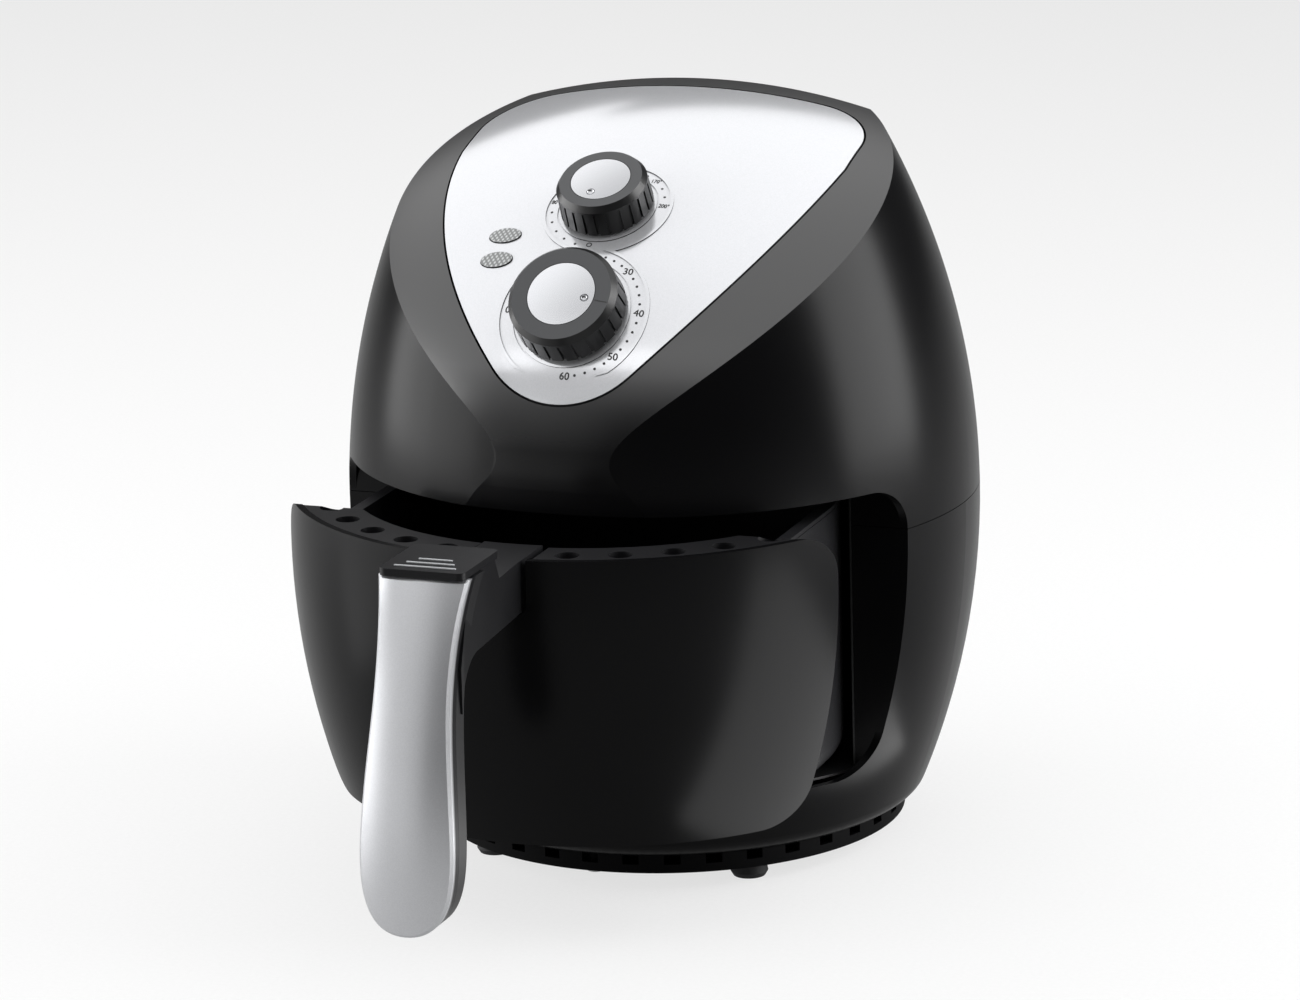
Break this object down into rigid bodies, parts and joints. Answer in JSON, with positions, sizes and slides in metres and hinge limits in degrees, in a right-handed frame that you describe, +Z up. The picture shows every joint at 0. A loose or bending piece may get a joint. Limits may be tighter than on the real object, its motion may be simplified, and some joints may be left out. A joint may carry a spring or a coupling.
{
  "type": "air fryer",
  "caption": "Barrel-shaped countertop air fryer with a domed silver dial panel, two rotary dials and a sliding drawer that carries a basket and a drop handle.",
  "frame": {"origin": "middle of the standing plane between the four feet, on the body's vertical axis", "axes": "+Z up, -Y towards the user along the drawer's travel, +X to the right seen from the front"},
  "size_m": [0.27, 0.435, 0.3162],
  "materials": {
    "black_shell": "satin black moulded plastic",
    "silver_panel": "bright silver painted plastic",
    "lens_grey": "grey translucent lens",
    "lamp_glass": "small neon lamp",
    "black_plastic": "black moulded plastic",
    "knob_black": "gloss black dial",
    "satin_silver": "satin silver",
    "rubber": "soft black rubber",
    "steel": "plain steel",
    "aluminised_steel": "bright aluminised sheet",
    "black_enamel": "black fired enamel on sheet steel",
    "heater_sheath": "dark oxidised heater tube",
    "fan_alloy": "cast fan alloy",
    "nonstick": "black non-stick coated steel",
    "brass": "brass",
    "white_plastic": "white thermoset plastic"
  },
  "bodies": {
    "housing": {"lower_housing": "black_shell", "upper_housing": "black_shell", "control_panel": "silver_panel", "indicator_lenses": "lens_grey", "indicator_lamps": "lamp_glass", "base_plate": "black_plastic", "rubber_feet": "rubber", "base_screws": "steel", "chamber_liner": "black_enamel", "drawer_rails": "black_plastic", "heat_reflector": "aluminised_steel", "heating_element": "heater_sheath", "heater_brackets": "steel", "heater_guard": "steel", "fan_motor": "steel", "motor_bracket": "steel", "timer_unit": "aluminised_steel", "thermostat_unit": "white_plastic", "rear_grille": "black_plastic", "air_duct": "aluminised_steel", "cord_gland": "rubber", "interlock_switch": "black_plastic", "terminal_block": "white_plastic", "thermal_fuse": "white_plastic"},
    "fan": {"motor_shaft": "steel", "hot_air_fan": "fan_alloy", "cooling_fan": "black_plastic", "fan_nut": "brass"},
    "timer_dial": {"timer_knob": "knob_black", "timer_cap": "satin_silver", "timer_shaft": "steel"},
    "temperature_dial": {"temperature_knob": "knob_black", "temperature_cap": "satin_silver", "thermostat_shaft": "steel"},
    "drawer": {"pan": "nonstick", "drawer_front": "black_shell", "drawer_top_trim": "black_plastic", "basket": "nonstick", "basket_grate": "nonstick", "basket_bumpers": "rubber", "handle_body": "black_plastic", "handle_cover": "satin_silver", "handle_screws": "steel", "latch_catch": "steel", "lever_pin": "steel", "button_spring": "steel"},
    "button_guard": {"button_guard": "black_plastic"},
    "release_button": {"release_button": "black_plastic"},
    "latch_lever": {"latch_lever": "steel"}
  },
  "joints": [
    {"name": "drawer_slide", "type": "slide", "parent": "housing", "child": "drawer", "axis": [0, -1, 0], "range_m": [-0.067, 0.15]},
    {"name": "timer_turn", "type": "hinge", "parent": "housing", "child": "timer_dial", "pos_m": [0, -0.1035, 0.24861], "axis": [0, -0.745, 0.667], "range_deg": [-77, 188]},
    {"name": "temperature_turn", "type": "hinge", "parent": "housing", "child": "temperature_dial", "pos_m": [0, -0.059, 0.28344], "axis": [0, -0.4894, 0.8721], "range_deg": [-253, 7]},
    {"name": "fan_spin", "type": "hinge", "parent": "housing", "child": "fan", "pos_m": [0, 0, 0.2], "axis": [0, 0, 1], "continuous": true},
    {"name": "guard_slide", "type": "slide", "parent": "drawer", "child": "button_guard", "axis": [0, -1, 0], "range_m": [0, 0.014]},
    {"name": "button_press", "type": "slide", "parent": "drawer", "child": "release_button", "axis": [0, 0, -1], "range_m": [0, 0.0025], "stiffness_N_per_m": 600, "springref_m": -0.003, "deforming": ["button_spring"]},
    {"name": "lever_swing", "type": "hinge", "parent": "drawer", "child": "latch_lever", "pos_m": [0, -0.2595, 0.164], "axis": [-1, 0, 0], "range_deg": [0, 7.55]}
  ],
  "couplings": [
    {"joint": "lever_swing", "follows": "button_press", "rad_per_m": 52.632}
  ]
}
